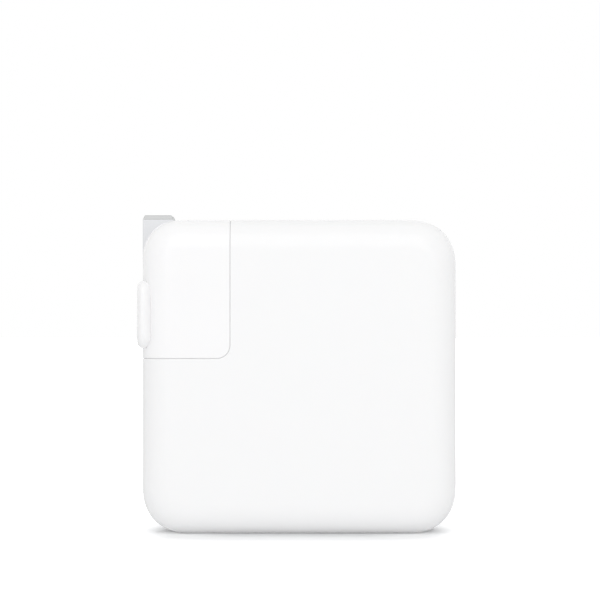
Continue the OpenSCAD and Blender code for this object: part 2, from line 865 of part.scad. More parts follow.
module socket_sleeves() {
    color(brass) for (s = [-1, 1]) difference() {
        rod_z(inlet_x, s * pin_y, notch_z - inlet_deep + 0.9, head_z + wall + sleeve_up - 1, sleeve_r);
        rod_z(inlet_x, s * pin_y, -far, far, pin_r + 0.08);
    }
}

// one spring strip: a foot on the sleeve and a blade that stands beside the carrier
module contact_springs() {
    foot_z = head_z + wall + sleeve_up - 1;
    spring_x = pivot_x + carrier_r + 0.12;
    strip = 0.4;
    color(brass) for (s = [-1, 1]) mirror([0, s < 0 ? 1 : 0, 0]) {
        along_y(pin_y - 1.2, pin_y + 3) polygon([
            [inlet_x + 1.2, foot_z], [inlet_x + 1.2, foot_z + strip], [spring_x + strip + 0.6, foot_z + strip],
            [spring_x + strip, foot_z + 1.4], [spring_x + strip, pivot_z + 3], [spring_x + 1.4, pivot_z + 5],
            [spring_x + 1, pivot_z + 5.2], [spring_x, pivot_z + 3.2], [spring_x, foot_z + 1.1], [spring_x + 0.5, foot_z]
        ]);
    }
}

module rail_clip() {
    x0 = head_x - rail_lip - channel_deep;
    half = stud_head_r + fit_gap;
    color(steel) {
        box(x0, x0 + clip_t, -half - clip_t, half + clip_t, stud_z - 8, stud_z);
        for (y = [-half - clip_t, half]) box(x0, x0 + channel_deep, y, y + clip_t, stud_z - 8, stud_z);
    }
}

// folded leaf that clicks against the carrier's flats, drawn as the carrier's corner presses it
module detent_leaf() {
    top = pivot_z - carrier_r - 0.1;
    foot = head_z + wall;
    strip = 0.3;
    color(steel) translate([pivot_x, 0, 0]) along_y(-2.2, 2.2) polygon([
        [-0.9, foot], [2.9, foot], [2.9, foot + 1.4 * strip], [0.9, top], [-0.9, top],
        [-0.9, top - strip], [0.7, top - strip], [2.3, foot + 1.2 * strip], [2.1, foot + strip], [-0.9, foot + strip]
    ]);
}

// ---- prongs ----

module folded_by_swing() {
    translate([pivot_x, 0, pivot_z]) rotate([0, -swing, 0]) translate([-pivot_x, 0, -pivot_z]) children();
}

// a strip from z = 0 up, w wide and l long, with both corners of its end cut off by c over b
module bevelled_strip(w, l, c, b) {
    polygon([[-w / 2, 0], [w / 2, 0], [w / 2, l - b], [w / 2 - c, l], [c - w / 2, l], [-w / 2, l - b]]);
}

// one blade: bevelled tip, full width past the pivot, and a narrow tail that meets its spring
module blade(y) {
    color([0.80, 0.81, 0.83]) translate([pivot_x, y, pivot_z]) {
        translate([0, 0, -blade_w / 2]) intersection() {
            along_y(-blade_t / 2, blade_t / 2) bevelled_strip(blade_w, blade_l + blade_w / 2, tip_side, tip_bevel);
            along_x(-blade_w / 2, blade_w / 2) bevelled_strip(blade_t, blade_l + blade_w / 2, tip_face, tip_bevel);
        }
        box(-tail_w / 2, tail_w / 2, -blade_t / 2, blade_t / 2, -carrier_r + 0.1, -blade_w / 2);
    }
}

module front_prong() {
    folded_by_swing() blade(-blade_y);
}

module rear_prong() {
    folded_by_swing() blade(blade_y);
}

module prong_carrier() {
    color([0.93, 0.93, 0.94]) folded_by_swing() difference() {
        union() {
            intersection() {
                rod_y(pivot_x, pivot_z, -carrier_l / 2, carrier_l / 2, carrier_r);
                box(pivot_x - carrier_flat, pivot_x + carrier_flat, -carrier_l / 2, carrier_l / 2, pivot_z - carrier_flat, pivot_z + carrier_flat);
            }
            rod_y(pivot_x, pivot_z, -carrier_l / 2 - trunnion_l, carrier_l / 2 + trunnion_l, trunnion_r);
        }
        for (y = [-blade_y, blade_y]) {
            box(pivot_x - blade_w / 2, pivot_x + blade_w / 2, y - blade_t / 2, y + blade_t / 2, pivot_z - blade_w / 2, far);
            box(pivot_x - tail_w / 2, pivot_x + tail_w / 2, y - blade_t / 2, y + blade_t / 2, -far, pivot_z);
        }
    }
}

front_shell();
rear_shell();
front_heat_spreader();
rear_heat_spreader();
insulating_sheet();
main_board();
inlet_cup();
inlet_pins();
input_leads();
guide_stud();
ground_strap();
stud_nut();
fuse();
varistor();
x_capacitor();
y_capacitor();
choke_core();
choke_windings();
bridge_rectifier();
bulk_capacitors();
power_transistor();
control_chips();
optocoupler();
bias_capacitor();
transformer_core();
transformer_bobbin();
transformer_winding();
thermal_pad();
output_inductor();
output_capacitors();
port_header();
port_board();
port_shell();
port_tongue();
port_contacts();
plug_shell();
plug_base();
socket_sleeves();
contact_springs();
rail_clip();
detent_leaf();
prong_carrier();
front_prong();
rear_prong();
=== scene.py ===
import json
import math

import bmesh
import bpy
from mathutils import Matrix, Vector


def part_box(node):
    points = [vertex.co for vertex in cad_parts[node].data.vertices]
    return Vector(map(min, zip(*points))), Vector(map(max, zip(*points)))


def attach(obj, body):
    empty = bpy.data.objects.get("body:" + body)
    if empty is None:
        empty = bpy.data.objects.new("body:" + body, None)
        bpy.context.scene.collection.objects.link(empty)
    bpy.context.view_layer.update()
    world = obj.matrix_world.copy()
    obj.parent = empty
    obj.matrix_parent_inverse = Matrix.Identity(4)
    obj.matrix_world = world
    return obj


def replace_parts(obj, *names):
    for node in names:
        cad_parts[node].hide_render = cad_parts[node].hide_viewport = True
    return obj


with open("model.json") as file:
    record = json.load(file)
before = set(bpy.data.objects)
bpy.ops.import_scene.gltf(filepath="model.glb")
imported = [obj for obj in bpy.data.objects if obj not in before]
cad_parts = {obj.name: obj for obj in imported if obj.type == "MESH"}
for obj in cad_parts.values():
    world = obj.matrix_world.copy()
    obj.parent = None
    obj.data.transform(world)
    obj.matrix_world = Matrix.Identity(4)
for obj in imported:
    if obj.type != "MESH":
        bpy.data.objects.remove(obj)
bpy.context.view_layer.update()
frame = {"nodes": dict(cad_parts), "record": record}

bl_info = {
    "name": "Laptop Power Adapter",
    "version": (1, 0, 0),
    "blender": (4, 5, 0),
    "location": "View3D > Sidebar > Adapter",
    "description": "Dresses the packed power adapter: shells, plug head, prongs, port, finishes and studio",
    "category": "Object",
}

MM = 0.001
HOLD = 0.15 * MM  # how far beside an eased edge the next row of points lies
FACE_ROWS = (0.4 * MM, 0.9 * MM)  # where the face's first rows lie, in from the rim
RIM_STEPS = 16
SAME_PLACE, SLIVER = 2e-6, 1e-7  # points this near, and edges this short, are taken as one


def size(name, description, default):
    """A length in metres that a user may change."""
    return bpy.props.FloatProperty(
        name=name, description=description, default=default, unit="LENGTH", precision=5
    )


def fullness(name, what, default):
    """How full a rounding is, as the power of its curve, which a user may change."""
    description = f"2 is a round {what}, more is fuller"
    return bpy.props.FloatProperty(name=name, description=description, default=default, min=2, max=4)


def shade(name, description, default):
    """A colour that a user may change."""
    return bpy.props.FloatVectorProperty(
        name=name, description=description, default=default, subtype="COLOR", size=3, min=0, max=1
    )


class CaseSizes(bpy.types.PropertyGroup):
    """Sizes of the case and its notch"""

    width: size("Width", "Width of the case, side to side", 66 * MM)
    height: size("Height", "Height of the case as it stands", 66 * MM)
    depth: size("Depth", "Thickness of the case, front face to back face", 28 * MM)
    wall: size("Wall", "Thickness of every moulded wall", 2 * MM)
    corner: size("Corner", "Distance from a corner at which its curve begins", 10.4 * MM)
    corner_power: fullness("Corner Fullness", "corner", 2.4)
    rim: size("Rim", "Distance from the edge at which the rim begins to fall away", 5.8 * MM)
    rim_power: fullness("Rim Fullness", "rim", 2.05)
    notch_x: size("Notch Side", "Place of the notch's upright wall", -14.49 * MM)
    notch_z: size("Notch Floor", "Height of the notch's floor", 36.85 * MM)
    notch_round: size("Notch Corner", "Radius of the notch's inner corner", 2.8 * MM)
    edge: size("Edge", "Radius of the small edge along the notch", 0.22 * MM)
    parting: size("Parting Line", "Half width of the line between the two shells", 0.05 * MM)


class HeadSizes(bpy.types.PropertyGroup):
    """Sizes of the plug head, its wall pad and the room for the prongs"""

    gap: size("Running Gap", "Gap between the plug head and the case as the eye sees it", 0.02 * MM)
    corner: size("Corner", "Distance from the corner at which its curve begins", 8.6 * MM)
    corner_power: fullness("Corner Fullness", "corner", 2.3)
    pad_height: size("Pad Height", "Height of the raised wall pad", 14.2 * MM)
    pad_face: size("Pad Face Depth", "Depth of the pad's rim from its crest out to its face", 1.3 * MM)
    pad_back: size("Pad Back Depth", "Depth of the pad's rim from its crest back into the head", 2.5 * MM)
    pad_proud: size("Pad Proud", "How far the pad stands proud of the side", 1.12 * MM)
    pad_fall: size("Pad Rim Fall", "Fall of the rim, crest to face, front and back", 3.4 * MM)
    pad_end_fall: size("Pad End Fall", "Fall of the rim, crest to face, top and bottom", 1.4 * MM)
    pad_corner: size("Pad Corner", "Corner radius of the pad seen from the side", 3 * MM)
    pivot_x: size("Pivot Side", "Place of the prongs' pivot across the head", -29.8 * MM)
    pivot_z: size("Pivot Height", "Height of the prongs' pivot", 46.1 * MM)
    blade_pitch: size("Blade Pitch", "Distance between the blades' mid-planes", 12.7 * MM)
    blade_width: size("Blade Width", "Width of a blade", 6.5 * MM)
    slot_width: size("Slot Width", "Width of the slots the blades fold into", 2.12 * MM)
    carrier_round: size("Carrier Room", "Radius of the room that the carrier turns in", 5.05 * MM)
    carrier_half: size("Carrier Half", "Half length of that room", 10.55 * MM)


class PortSizes(bpy.types.PropertyGroup):
    """Sizes of the outlet port, and the turns of the input choke"""

    height: size("Port Height", "Height of the port's middle", 33 * MM)
    length: size("Port Length", "Length of the metal shell's opening", 8.34 * MM)
    width: size("Port Width", "Width of the metal shell's opening", 2.56 * MM)
    shell: size("Port Wall", "Wall of the metal shell", 0.3 * MM)
    turns: bpy.props.IntProperty(
        name="Choke Turns", description="Turns in each of the choke's coils", default=9, min=3, max=14
    )


class Finishes(bpy.types.PropertyGroup):
    """Colours of what is seen from outside"""

    case: shade("Case White", "Colour of the case", (0.905, 0.904, 0.905))
    head: shade("Head White", "Colour of the plug head", (0.922, 0.918, 0.921))
    blades: shade("Blade Metal", "Colour of the plated blades", (0.724, 0.73, 0.747))
    # The tips' darker colour is painted shade, put on the blades' up-facing ends.
    tips: shade("Blade Tips", "Colour of the blades' coined, duller ends", (0.507, 0.512, 0.512))


# ---- outlines and skins, in metres, with +Y towards the back ----


def soft_quarter(reach, power, steps):
    """A quarter of a full round, by equal turns of its normal: x, y, normal x, normal y."""
    row = []
    for i in range(steps + 1):
        turn = math.pi / 2 * i / steps
        way = turn if i in (0, steps) else math.atan(math.tan(turn) ** (1 / (power - 1)))
        c, s = math.cos(way), math.sin(way)
        r = reach / (c**power + s**power) ** (1 / power)
        row.append((r * c, r * s, math.cos(turn), math.sin(turn)))
    return row


def rim_profile(half, taken, reach, power, steps, start):
    """Rows from the middle plane round the rim to the flat face: inset, y, side share, face share."""
    rows = [(taken + d, -y, 1.0, 0.0) for d, y in start]
    reach_in = reach - taken
    for x, y, nx, ny in soft_quarter(reach_in, power, steps):
        rows.append((taken + reach_in - x, -(half - taken - reach_in + y), nx, ny))
    for extra in FACE_ROWS:
        rows.append((reach + extra, -(half - taken), 0.0, 1.0))
    return rows


def case_columns(c, grown, support):
    """Outline from the top of the notch clockwise to its left end: x, z, normal x, normal z."""
    half, top, r = c.width / 2, c.height, c.corner
    arc = soft_quarter(r, c.corner_power, 18)
    cols = [(c.notch_x + grown, top, 0.0, 1.0), (c.notch_x + support, top, 0.0, 1.0)]
    cols += [(half - r + x, top - r + z, nx, nz) for x, z, nx, nz in reversed(arc)]
    cols += [(half - r + x, r - z, nx, -nz) for x, z, nx, nz in arc]
    cols += [(r - half - x, r - z, -nx, -nz) for x, z, nx, nz in reversed(arc)]
    cols += [(-half, c.notch_z - support, -1.0, 0.0), (-half, c.notch_z - grown, -1.0, 0.0)]
    return cols


def head_columns(c, h, grown, support):
    """Outline from the top of the notch anticlockwise to its left end."""
    half, top, r = c.width / 2, c.height, h.corner
    cols = [(c.notch_x + grown, top, 0.0, 1.0), (c.notch_x + support, top, 0.0, 1.0)]
    arc = soft_quarter(r, h.corner_power, 24)
    cols += [(r - half - x, top - r + z, -nx, nz) for x, z, nx, nz in reversed(arc)]
    cols += [(-half, c.notch_z - support, -1.0, 0.0), (-half, c.notch_z - grown, -1.0, 0.0)]
    return cols


def notch_line(c, grown, top, left):
    """The notch's own outline on the face: x, z, and the way out of the notch."""
    cx, cz, r = c.notch_x - c.notch_round, c.notch_z + c.notch_round, c.notch_round + grown
    line = [(c.notch_x + grown, top, 1.0, 0.0)]
    steps = 14
    for i in range(steps + 1):
        turn = -math.pi / 2 * i / steps
        line.append((cx + r * math.cos(turn), cz + r * math.sin(turn), math.cos(turn), math.sin(turn)))
    line.append((left, c.notch_z - grown, 0.0, -1.0))
    return line


def notch_seam(columns, rows, grid, line, ways, side):
    """The points along the notch's edge, each with its skin's normal and the way off that edge."""

    def facing(col, row):
        return Vector((col[2] * row[2], -row[3], col[3] * row[2]))

    top = [(p, facing(columns[0], row), Vector((-side, 0, 0))) for p, row in zip(grid[0], rows[:-1])]
    ahead = Vector((0, -1, 0))
    front = [(p, ahead, Vector((-side * e[2], 0, -side * e[3]))) for p, e in zip(line, ways)]
    left = [(p, facing(columns[-1], row), Vector((0, 0, side))) for p, row in zip(grid[-1], rows[:-1])]
    return top + front + left[::-1]


def eased(seam, radius):
    """Rows of points that carry a skin over its edge by a quarter of a round."""
    steps = 4
    bend = []
    for i in range(steps + 1):
        a = math.pi / 2 * i / steps
        bend.append([p + radius * math.sin(a) * t - radius * (1 - math.cos(a)) * n for p, n, t in seam])
    return bend


def skin(c, columns, rows, grown, support, side, edge, middle):
    """One skin of a half: its patches of points, its face, and the loop it leaves at the middle plane.

    side is 1 where the skin lies outside the notch and -1 where it fills it."""

    def at(col, row):
        return Vector((col[0] - row[0] * col[2], row[1], col[1] - row[0] * col[3]))

    grid = [[at(col, row) for row in rows] for col in columns]
    flat, y = rows[-1][:2]
    top, left = c.height - flat, flat - c.width / 2
    inner = notch_line(c, grown, top, left)
    line = [Vector((x, y, z)) for x, z, *_ in inner]
    beside = [Vector((x, y, z)) for x, z, *_ in notch_line(c, support, top, left)]
    face = [column[-1] for column in grid[1:-1]] + list(reversed(beside))[1:-1]
    bend = eased(notch_seam(columns, rows, grid, line, inner, side), edge)
    x0, z0 = bend[-1][-1].x, bend[-1][0].z
    wall = [bend[-1], [Vector((max(p.x, x0), middle, min(p.z, z0))) for p in bend[-1]]]
    loop = [column[0] for column in grid]
    loop += [row[-1] for row in bend] + list(reversed(wall[1])) + [row[0] for row in reversed(bend)]
    return [grid, [line, beside], bend, wall], face, loop


def add_patches(bm, patches, faces):
    """Adds grids of points as four-sided faces, and outlines as one face each."""
    for rows in patches:
        grid = [[bm.verts.new(p) for p in row] for row in rows]
        for a, b in zip(grid, grid[1:]):
            for i in range(len(a) - 1):
                bm.faces.new((a[i], a[i + 1], b[i + 1], b[i]))
    for face in faces:
        bm.faces.new([bm.verts.new(p) for p in face])


def weld(bm):
    """Joins the patches where they meet and turns every face outwards."""
    bmesh.ops.remove_doubles(bm, verts=bm.verts, dist=SAME_PLACE)
    bmesh.ops.dissolve_degenerate(bm, edges=bm.edges, dist=SLIVER)
    bmesh.ops.recalc_face_normals(bm, faces=bm.faces)


def closed(name, bm):
    """Turns a bmesh into an object, after checking that no edge of it is open."""
    open_edges = [e for e in bm.edges if len(e.link_faces) != 2]
    if open_edges:
        first = open_edges[0].verts[0].co
        raise RuntimeError(f"{name}: {len(open_edges)} edges are open, first at {first}")
    if bm.calc_volume(signed=True) < 0:
        bmesh.ops.reverse_faces(bm, faces=bm.faces)
    mesh = bpy.data.meshes.new(name)
    bm.to_mesh(mesh)
    bm.free()
    obj = bpy.data.objects.new(name, mesh)
    bpy.context.scene.collection.objects.link(obj)
    return obj


def applied(obj):
    """Replaces the mesh by what its modifiers make of it, and removes them."""
    made = bpy.data.meshes.new_from_object(obj.evaluated_get(bpy.context.evaluated_depsgraph_get()))
    obj.modifiers.clear()
    old, obj.data = obj.data, made
    bpy.data.meshes.remove(old)
    return obj


def smooth(obj, degrees=32):
    """Smooth shading up to an angle, with the normals of flat faces kept flat by their area."""
    obj.data.polygons.foreach_set("use_smooth", [True] * len(obj.data.polygons))
    obj.data.set_sharp_from_angle(angle=math.radians(degrees))
    weigh = obj.modifiers.new("weigh", "WEIGHTED_NORMAL")
    weigh.keep_sharp = True
    return applied(obj)


def combine(obj, tool, how="DIFFERENCE"):
    """Cuts a tool out of a piece, or adds it, and removes the tool."""
    step = obj.modifiers.new(how, "BOOLEAN")
    step.operation, step.object, step.solver = how, tool, "MANIFOLD"
    applied(obj)
    bpy.data.objects.remove(tool)
    return obj


def lofted(name, rings):
    """A closed solid through rings of as many points each, capped at both ends."""
    bm = bmesh.new()
    grid = [[bm.verts.new(p) for p in ring] for ring in rings]
    for a, b in zip(grid, grid[1:]):
        for i in range(len(a)):
            j = (i + 1) % len(a)
            bm.faces.new((a[i], a[j], b[j], b[i]))
    bm.faces.new(list(reversed(grid[0])))
    bm.faces.new(grid[-1])
    bmesh.ops.recalc_face_normals(bm, faces=bm.faces)
    return closed(name, bm)


def block(name, x, y, z):
    """A box between two places on each axis."""
    corners = ((x[0], y[0]), (x[1], y[0]), (x[1], y[1]), (x[0], y[1]))
    return lofted(name, [[Vector((a, b, height)) for a, b in corners] for height in z])


def rod(name, axis, centre, ends, radius, steps=64):
    """A round bar along an axis."""
    u, v = [(1, 2), (0, 2), (0, 1)][axis]
    rings = []
    for at in ends:
        ring = []
        for i in range(steps):
            a = 2 * math.pi * i / steps
            p = [0.0, 0.0, 0.0]
            p[axis] = at
            p[u] = centre[0] + radius * math.cos(a)
            p[v] = centre[1] + radius * math.sin(a)
            ring.append(Vector(p))
        rings.append(ring)
    return lofted(name, rings)


def round_outline(w, h, r, steps=16):
    """Points of a rectangle with round corners, centred on the origin."""
    points = []
    for sx, sz, first in ((1, 1, 0), (-1, 1, 1), (-1, -1, 2), (1, -1, 3)):
        for i in range(steps + 1):
            a = math.pi / 2 * (first + i / steps)
            points.append((sx * (w / 2 - r) + r * math.cos(a), sz * (h / 2 - r) + r * math.sin(a)))
    return points


def port_tool(c, q):
    """What cuts the port's hole through the side, with its outer edge eased."""
    slip, ease, inside, outside, least = 0.15 * MM, 0.22 * MM, 4 * MM, 1 * MM, 0.002 * MM
    side = c.width / 2
    rings = []
    for x, more in ((side - inside, 0), (side - ease, 0), (side + outside, outside + ease)):
        g = q.shell + slip + more
        outline = round_outline(q.width + 2 * g, q.length + 2 * g, q.width / 2 + g - least)
        rings.append([Vector((x, a, q.height + b)) for a, b in outline])
    return lofted("port_tool", rings)


def cup_tool(c):
    """What cuts the inlet's hole through the floor of the notch, by the inlet cup without its flange."""
    low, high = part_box("inlet_cup")
    slip, flange, corner = 0.05 * MM, 1 * MM, 2 * MM
    w, h = high.x - low.x - 2 * flange + 2 * slip, high.y - low.y - 2 * flange + 2 * slip
    cx, cy = (low.x + high.x) / 2, (low.y + high.y) / 2
    outline = round_outline(w, h, corner + slip)
    ends = (c.notch_z - 4 * MM, c.notch_z + 1 * MM)
    return lofted("cup_tool", [[Vector((cx + a, cy + b, z)) for a, b in outline] for z in ends])


def stud_tool(c):
    """What cuts the guide stud's hole through the upright wall of the notch."""
    low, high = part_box("guide_stud")
    hole = 1.85 * MM
    ends = (c.notch_x - 2 * MM, c.notch_x + 4 * MM)
    return rod("stud_tool", 0, (0.0, (low.z + high.z) / 2), ends, hole)


def case_half(name, c):
    """The front shell as a closed hollow half: outer skin, inner skin and the strip between them."""
    e, w, line = c.edge, c.wall, c.parting
    ease, first_row = 0.1 * MM, 0.35 * MM
    inner_start = ((0.0, line), (0.0, line + ease), (0.0, first_row))
    start = ((ease, line), *inner_start[1:])
    rows = rim_profile(c.depth / 2, 0, c.rim, c.rim_power, RIM_STEPS, start)
    patches, face, loop = skin(c, case_columns(c, e, e + HOLD), rows, e, e + HOLD, 1, e, -line)
    rows = rim_profile(c.depth / 2, w, c.rim, 2, RIM_STEPS, inner_start)
    columns = case_columns(c, w, w + HOLD)
    inside, inner_face, inner_loop = skin(c, columns, rows, w, w + HOLD, 1, 0.0, -line)
    bm = bmesh.new()
    strip = [loop + loop[:1], inner_loop + inner_loop[:1]]
    add_patches(bm, patches + inside + [strip], [face, inner_face])
    weld(bm)
    return closed(name, bm)


def mirrored(name, obj):
    """A copy turned over the plane Y = 0."""
    mesh = obj.data.copy()
    mesh.transform(Matrix.Diagonal((1, -1, 1, 1)))
    mesh.flip_normals()
    twin = bpy.data.objects.new(name, mesh)
    bpy.context.scene.collection.objects.link(twin)
    return twin


def head_block(name, c, h):
    """The corner block as one closed form: a half, its mirror image, and no line between them."""
    grown = -(h.gap + c.edge)
    support = grown - HOLD
    first_row = 1 * MM
    rows = rim_profile(c.depth / 2, 0, c.rim, c.rim_power, RIM_STEPS, ((0.0, 0.0), (0.0, first_row)))
    patches, face, _ = skin(c, head_columns(c, h, grown, support), rows, grown, support, -1, c.edge, 0.0)
    bm = bmesh.new()
    add_patches(bm, patches, [face])
    turned = [[[Vector((p.x, -p.y, p.z)) for p in row] for row in grid] for grid in patches]
    add_patches(bm, turned, [[Vector((p.x, -p.y, p.z)) for p in face]])
    weld(bm)
    return closed(name, bm)


def wall_pad(name, c, h):
    """The raised pad that meets the wall: a rounded slab across Y and Z with a round rim.

    Behind its crest the rim falls away further, down to the head."""
    within, least, steps = 0.02 * MM, 0.01 * MM, 24
    back_fall, back_end_fall = 5.5 * MM, 3 * MM
    half_y = c.depth / 2 - within
    crest = -c.width / 2 - h.pad_proud + h.pad_face
    rings = []
    for i in range(steps + 1):
        a = -math.pi / 2 + math.pi * i / steps
        if a < 0:
            reach, side, end = h.pad_face, h.pad_fall, h.pad_end_fall
        else:
            reach, side, end = h.pad_back, back_fall, back_end_fall
        inset, end_inset = side * (1 - math.cos(a)), end * (1 - math.cos(a))
        corner = max(h.pad_corner - end_inset, least)
        outline = round_outline(2 * (half_y - inset), h.pad_height - 2 * end_inset, corner)
        rings.append([Vector((crest + reach * math.sin(a), y, h.pivot_z + z)) for y, z in outline])
    return lofted(name, rings)


def cavity_tool(c, h, half_y):
    """The plug head's hollow, open to the notch's side and downwards."""
    w, bevel, steps = c.wall, 1.6 * MM, 12
    r = h.corner - w
    left, top, far = -c.width / 2 + w, c.height - w, 60 * MM
    rings = []
    for y, inset in ((-half_y, bevel), (bevel - half_y, 0), (half_y - bevel, 0), (half_y, bevel)):
        x0, z1, rr = left + inset, top - inset, r - inset
        outline = [(x0, -far), (far, -far), (far, z1)]
        for i in range(steps + 1):
            a = math.pi / 2 + math.pi / 2 * i / steps
            outline.append((x0 + rr + rr * math.cos(a), z1 - rr + rr * math.sin(a)))
        rings.append([Vector((x, y, z)) for x, z in outline])
    return lofted("cavity_tool", rings)


def channel_wall(c, h, middle):
    """The solid that a blade's slot is cut from, which follows the round of the head's corner."""
    behind_blade, above_pivot, thick, steps = 1.3 * MM, 5.7 * MM, 1 * MM, 8
    r = h.corner - c.wall / 2
    left, top = -(c.width - c.wall) / 2, c.height - c.wall / 2
    right, low = h.pivot_x + h.blade_width / 2 + behind_blade, h.pivot_z + above_pivot
    reach = h.slot_width / 2 + thick
    outline = [(left, low), (right, low), (right, top)]
    for i in range(steps + 1):
        a = math.pi / 2 + math.pi / 2 * i / steps
        outline.append((left + r + r * math.cos(a), top - r + r * math.sin(a)))
    return lofted("channel", [[Vector((x, middle + y, z)) for x, z in outline] for y in (-reach, reach)])


def cut_for_prongs(body, c, h, inner, far):
    """Cuts what the prongs move in: the slots, the carrier's room and window, and the open bearings."""
    slot_back, slot_foot, window_lip, window_half = 0.3 * MM, 0.4 * MM, 0.5 * MM, 3 * MM
    trunnion, bearing_edge = 1.66 * MM, 1 * MM
    blade, pivot = h.blade_width / 2, (h.pivot_x, h.pivot_z)
    for side in (-1, 1):
        middle, reach = side * h.blade_pitch / 2, h.slot_width / 2
        x, z = (-far, h.pivot_x + blade + slot_back), (h.pivot_z - blade - slot_foot, far)
        combine(body, block("slot", x, (middle - reach, middle + reach), z))
    room = (-h.carrier_half, h.carrier_half)
    combine(body, rod("turning_room", 1, pivot, room, h.carrier_round, 96))
    heights = (h.pivot_z - window_half, h.pivot_z + window_half)
    combine(body, block("window", (-far, window_lip - c.width / 2), room, heights))
    combine(body, rod("trunnion_hole", 1, pivot, (-inner, inner), trunnion))
    heights = (h.pivot_z - trunnion, h.pivot_z + trunnion)
    for side in (-1, 1):
        ends = sorted((side * (h.carrier_half - bearing_edge), side * inner))
        combine(body, block("bearing_slot", (h.pivot_x, far), ends, heights))


def plug_housing(c, h):
    """The plug head's outer shell with its pad, channel walls, bearing bosses, slots and window."""
    inner, far = c.depth / 2 - c.wall, 200 * MM
    boss, boss_sunk = 3.2 * MM, 0.3 * MM
    body = head_block("plug_housing", c, h)
    combine(body, wall_pad("pad", c, h), "UNION")
    combine(body, cavity_tool(c, h, inner))
    side, foot = c.notch_x - h.gap, c.notch_z + h.gap
    across, deep = (-c.width / 2 + c.wall, far), (-inner, inner)
    combine(body, block("base_room", across, deep, (-far, foot + c.wall)))
    combine(body, block("side_room", (side - c.wall, far), deep, (-far, c.height - c.wall)))
    for side in (-1, 1):
        combine(body, channel_wall(c, h, side * h.blade_pitch / 2), "UNION")
        ends = (side * h.carrier_half, side * (inner + boss_sunk))
        combine(body, rod("bearing", 1, (h.pivot_x, h.pivot_z), ends, boss), "UNION")
    cut_for_prongs(body, c, h, inner, far)
    return smooth(body)


def softened(node, name, width, segments=3, crease=40):
    """A copy of a CAD node with its coplanar faces joined and its sharp edges eased."""
    same_place, same_plane, sharp = 1e-6, math.radians(0.5), math.radians(30)
    bm = bmesh.new()
    bm.from_mesh(frame["nodes"][node].data)
    bmesh.ops.remove_doubles(bm, verts=bm.verts, dist=same_place)
    bmesh.ops.dissolve_limit(bm, angle_limit=same_plane, verts=bm.verts, edges=bm.edges)
    bmesh.ops.recalc_face_normals(bm, faces=bm.faces)
    obj = closed(name, bm)
    ease = obj.modifiers.new("ease", "BEVEL")
    ease.width, ease.segments, ease.limit_method = width, segments, "ANGLE"
    ease.angle_limit, ease.use_clamp_overlap = sharp, True
    applied(obj)
    return smooth(obj, crease)


# ---- repeated pieces, by Geometry Nodes ----


def node_tree(name, inputs):
    """A new geometry tree with these named inputs, and its two end nodes."""
    tree = bpy.data.node_groups.new(name, "GeometryNodeTree")
    for label, kind, default in inputs:
        socket = tree.interface.new_socket(label, in_out="INPUT", socket_type=kind)
        if default is not None:
            socket.default_value = default
    tree.interface.new_socket("Geometry", in_out="OUTPUT", socket_type="NodeSocketGeometry")
    return tree, tree.nodes.new("NodeGroupInput"), tree.nodes.new("NodeGroupOutput")


def maths(tree, how, a, b=None):
    """One step of arithmetic on numbers or on other nodes' outputs."""
    node = tree.nodes.new("ShaderNodeMath")
    node.operation = how
    for socket, value in zip(node.inputs, (a, b)):
        if isinstance(value, (int, float)):
            socket.default_value = value
        elif value is not None:
            tree.links.new(value, socket)
    return node.outputs[0]


def away_from(tree, middle, half):
    """Distance from a block with this middle and these half sizes, in the object's own space."""
    where = tree.nodes.new("ShaderNodeTexCoord")
    place = where.outputs["Object"]
    steps = (
        ("SUBTRACT", middle), ("ABSOLUTE", None), ("SUBTRACT", half), ("MAXIMUM", (0, 0, 0)),
        ("LENGTH", None),
    )
    for how, other in steps:
        step = tree.nodes.new("ShaderNodeVectorMath")
        step.operation = how
        tree.links.new(place, step.inputs[0])
        if other is not None:
            step.inputs[1].default_value = other
        place = step.outputs["Value" if how == "LENGTH" else "Vector"]
    return place


def ranged(tree, value, before, after):
    """A value carried smoothly from one range to another, and held at its ends."""
    step = tree.nodes.new("ShaderNodeMapRange")
    step.interpolation_type = "SMOOTHSTEP"
    tree.links.new(value, step.inputs["Value"])
    for label, number in zip(("From Min", "From Max", "To Min", "To Max"), (*before, *after)):
        step.inputs[label].default_value = number
    return step.outputs["Result"]


def finish_tree(tree, instances, given, end):
    """Realizes the instances and gives them the material input."""
    real = tree.nodes.new("GeometryNodeRealizeInstances")
    paint = tree.nodes.new("GeometryNodeSetMaterial")
    tree.links.new(instances, real.inputs[0])
    tree.links.new(real.outputs[0], paint.inputs["Geometry"])
    tree.links.new(given.outputs["Material"], paint.inputs["Material"])
    tree.links.new(paint.outputs[0], end.inputs[0])


def turn_places(tree, given):
    """Points for the turns round the ring, and the way each turn faces."""
    new, link = tree.nodes.new, tree.links.new
    points, index = new("GeometryNodePoints"), new("GeometryNodeInputIndex")
    place, turn = new("ShaderNodeCombineXYZ"), new("ShaderNodeCombineXYZ")
    link(given.outputs["Turns"], points.inputs["Count"])
    gaps = maths(tree, "SUBTRACT", given.outputs["Turns"], 1)
    step = maths(tree, "DIVIDE", given.outputs["Sweep"], gaps)
    angle = maths(tree, "ADD", given.outputs["Start"], maths(tree, "MULTIPLY", index.outputs[0], step))
    for way, axis in (("COSINE", "X"), ("SINE", "Y")):
        share = maths(tree, way, angle)
        link(maths(tree, "MULTIPLY", share, given.outputs["Ring Radius"]), place.inputs[axis])
    link(angle, turn.inputs["Z"])
    link(place.outputs[0], points.inputs["Position"])
    return points.outputs[0], turn.outputs[0]


